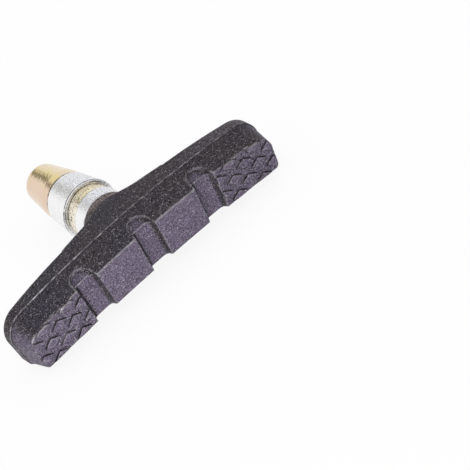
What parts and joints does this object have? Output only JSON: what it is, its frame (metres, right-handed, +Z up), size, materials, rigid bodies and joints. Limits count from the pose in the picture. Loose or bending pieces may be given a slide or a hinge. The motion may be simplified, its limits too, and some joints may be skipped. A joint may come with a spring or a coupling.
{
  "type": "bicycle rim brake pad",
  "caption": "Bicycle rim brake pad: a bent rubber block with water grooves and hatched ends, on a threaded stud with ball and cup washers and a tapered nut.",
  "frame": {"origin": "on the stud's axis, on the seat at the top of the pad's boss, where the washers bear", "axes": "+X along the pad, +Y along the stud away from the rim, +Z up, towards the tyre, which is the outside of the pad's bend"},
  "size_m": [0.0708, 0.0448, 0.0149],
  "materials": {
    "pad_rubber": "matte, finely grained",
    "plain_steel": "plain",
    "silver_zinc": "bright zinc, satin",
    "gold_zinc": "yellow zinc, satin",
    "polished_gold_zinc": "pale yellow zinc, polished"
  },
  "bodies": {
    "root": {"rubber_block": "pad_rubber", "backing_plate": "plain_steel", "stud": "plain_steel", "inner_cup_washer": "silver_zinc", "outer_cup_washer": "silver_zinc", "inner_ball_washer": "gold_zinc", "outer_ball_washer": "gold_zinc", "dome_nut": "polished_gold_zinc"}
  },
  "joints": []
}
